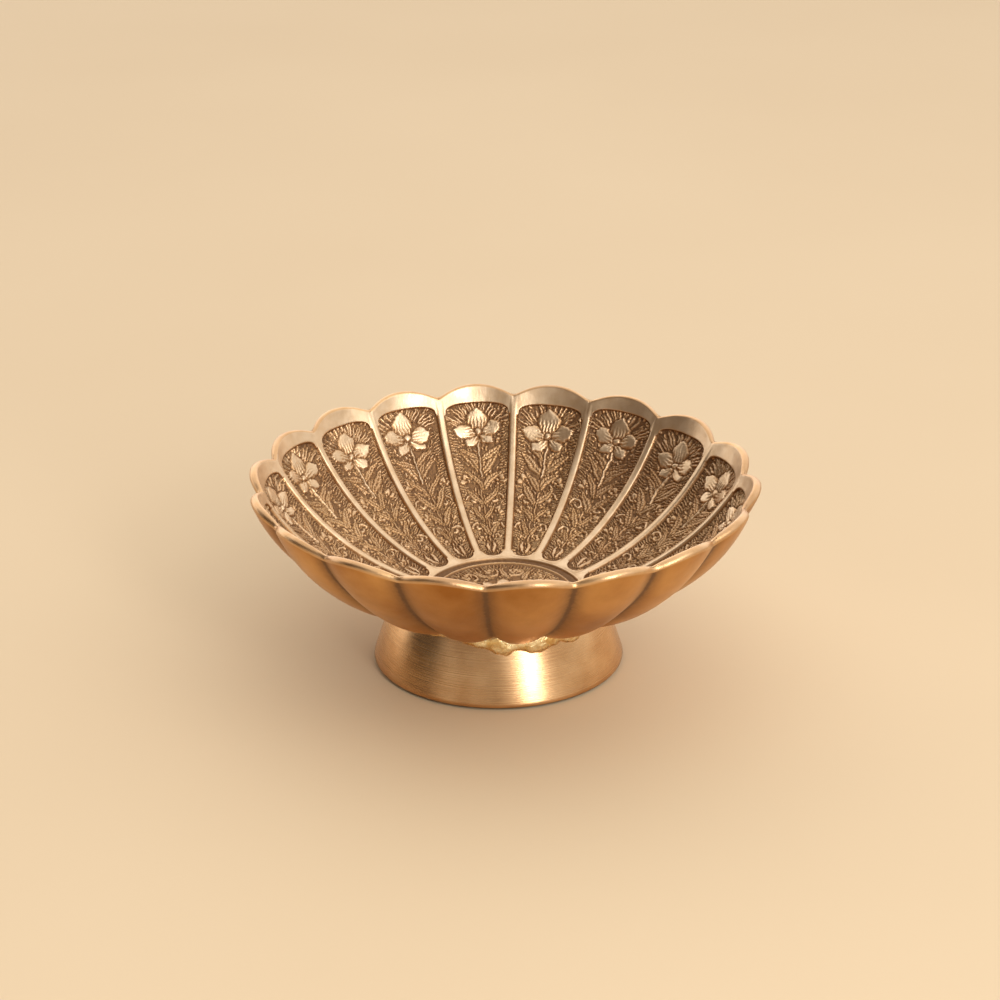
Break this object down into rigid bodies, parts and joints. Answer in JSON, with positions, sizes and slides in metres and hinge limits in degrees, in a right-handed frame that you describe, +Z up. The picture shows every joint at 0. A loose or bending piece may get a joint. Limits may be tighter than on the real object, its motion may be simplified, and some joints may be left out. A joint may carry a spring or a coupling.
{
  "type": "footed lotus bowl",
  "caption": "Small footed bowl in cast brass with a scalloped petal rim, engraved panels inside and a turned hollow foot.",
  "frame": {"origin": "on the supporting surface, under the middle of the bowl", "axes": "+Z up along the bowl's axis; the round object has no front, and +Y is the side away from the viewer"},
  "size_m": [0.1498, 0.1494, 0.0578],
  "materials": {
    "cast_brass": "antiqued cast brass: dark patina in the engraving, rubbed bright on ribs and rim, satin outside",
    "turned_brass": "lathe-turned satin brass with fine rings round it",
    "braze": "bright yellow filler, lumpy where it ran"
  },
  "bodies": {
    "root": {"bowl": "cast_brass", "foot": "turned_brass", "braze_fillet": "braze"}
  },
  "joints": []
}
